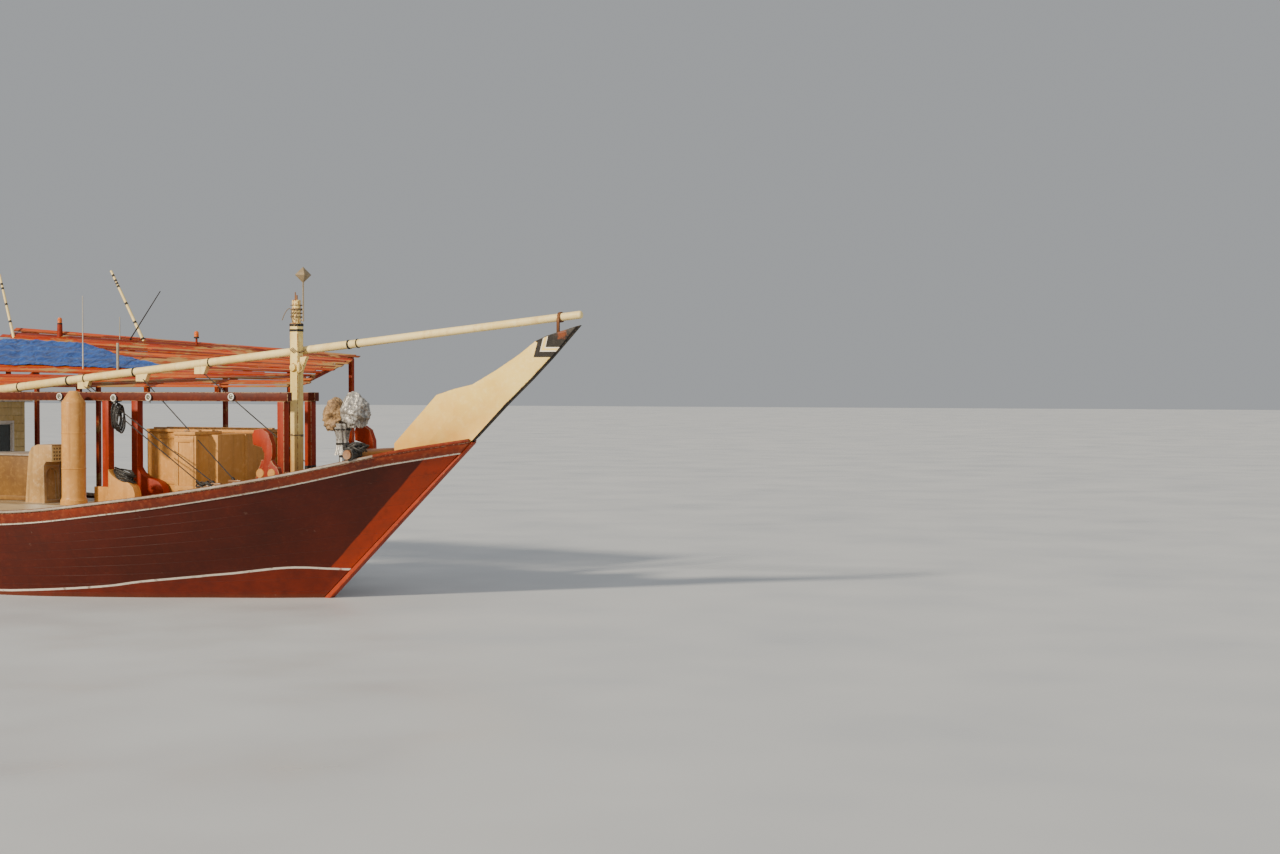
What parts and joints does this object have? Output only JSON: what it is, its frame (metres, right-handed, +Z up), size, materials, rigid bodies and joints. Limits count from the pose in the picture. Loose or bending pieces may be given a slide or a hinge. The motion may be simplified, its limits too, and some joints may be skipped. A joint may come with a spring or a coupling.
{
  "type": "wooden fishing dhow",
  "caption": "Decked wooden fishing dhow with a long raked stem, king post, lashed spar, slatted awnings, deckhouse, rudder and propeller, afloat at its waterline",
  "frame": {"origin": "On the centreline at the waterline, near the middle of the boat's length", "axes": "+X towards the bow, +Y to port, +Z up"},
  "size_m": [21.9316, 6.0396, 8.1493],
  "materials": {
    "hull_red": "worn satin red-brown paint on planking",
    "stem_red": "satin lighter red paint",
    "rub_brown": "glossy dark brown varnish",
    "cap_grey": "worn grey-white paint on timber",
    "cream_paint": "satin cream paint with stains",
    "black_paint": "matte black paint",
    "tan_paint": "satin tan paint",
    "tan_steel": "satin tan paint on steel",
    "brick_paint": "worn brick-red paint on timber",
    "bare_wood": "bare worn timber",
    "deck_wood": "weathered grey-brown deck paint",
    "white_paint": "satin off-white paint",
    "blue_sheet": "woven plastic sheet",
    "foil_sheet": "crumpled silvery sheet",
    "bronze": "dull cast bronze",
    "steel": "rusty galvanised steel",
    "cream_house": "satin cream paint on planks"
  },
  "bodies": {
    "boat": {"awning_aft": "brick_paint", "awning_beam_port": "brick_paint", "awning_beam_starboard": "brick_paint", "awning_fore": "brick_paint", "bow_block": "hull_red", "bow_log": "bare_wood", "bulwark_port": "hull_red", "bulwark_starboard": "hull_red", "cabin_bench": "bare_wood", "cap_rail_port": "cap_grey", "cap_rail_starboard": "cap_grey", "deck_box": "tan_paint", "exhaust_column": "tan_steel", "fish_box": "tan_paint", "gooseneck_vent": "tan_steel", "hauler_cover": "foil_sheet", "hauler_post": "steel", "helm_console": "bare_wood", "hold_coaming": "deck_wood", "house_roof": "white_paint", "house_wall_aft": "cream_house", "house_wall_fore": "cream_house", "house_wall_port": "cream_house", "house_wall_starboard": "cream_house", "hull": "hull_red", "keel": "hull_red", "king_post": "cream_paint", "mast_guard_post_port": "brick_paint", "mast_guard_post_starboard": "brick_paint", "midship_post_port": "brick_paint", "midship_post_starboard": "brick_paint", "radar_reflector": "steel", "rub_band_port": "rub_brown", "rub_band_starboard": "rub_brown", "spar": "cream_paint", "spar_strap": "steel", "stem_board": "cream_paint", "stem_post": "stem_red", "stem_tip": "black_paint", "stern_board": "hull_red", "tarpaulin": "blue_sheet", "timber_head_port": "brick_paint", "timber_head_starboard": "brick_paint"},
    "rudder": {"rudder": "hull_red"},
    "propeller": {"propeller": "bronze"},
    "steering_wheel": {"steering_wheel": "bare_wood"},
    "door_starboard": {"house_door_starboard": "brick_paint"},
    "door_port": {"house_door_port": "brick_paint"},
    "lid_starboard": {"fish_box_lid_starboard": "tan_paint"},
    "lid_port": {"fish_box_lid_port": "tan_paint"}
  },
  "joints": [
    {"name": "rudder_turn", "type": "hinge", "parent": "boat", "child": "rudder", "pos_m": [-9.68557, 0, -1.66], "axis": [-0.2773, 0, 0.9608], "range_deg": [-35, 35]},
    {"name": "wheel_turn", "type": "hinge", "parent": "boat", "child": "steering_wheel", "pos_m": [-4.43, 0, 2.08], "axis": [1, 0, 0], "range_deg": [-720, 720]},
    {"name": "propeller_spin", "type": "hinge", "parent": "boat", "child": "propeller", "pos_m": [-8.66, 0, -1.08], "axis": [1, 0, 0], "continuous": true},
    {"name": "door_starboard_swing", "type": "hinge", "parent": "boat", "child": "door_starboard", "pos_m": [-4.1532, -1.65, 2.2], "axis": [0, 0, 1], "range_deg": [0, 110]},
    {"name": "door_port_swing", "type": "hinge", "parent": "boat", "child": "door_port", "pos_m": [-4.1532, 1.65, 2.2], "axis": [0, 0, -1], "range_deg": [0, 110]},
    {"name": "lid_starboard_lift", "type": "hinge", "parent": "boat", "child": "lid_starboard", "pos_m": [3.15, -0.52, 3.0603], "axis": [-1, 0, 0], "range_deg": [0, 80]},
    {"name": "lid_port_lift", "type": "hinge", "parent": "boat", "child": "lid_port", "pos_m": [2.02, 0.52, 3.0603], "axis": [1, 0, 0], "range_deg": [0, 80]}
  ],
  "couplings": [
    {"joint": "wheel_turn", "follows": "rudder_turn", "ratio": 20.571}
  ]
}
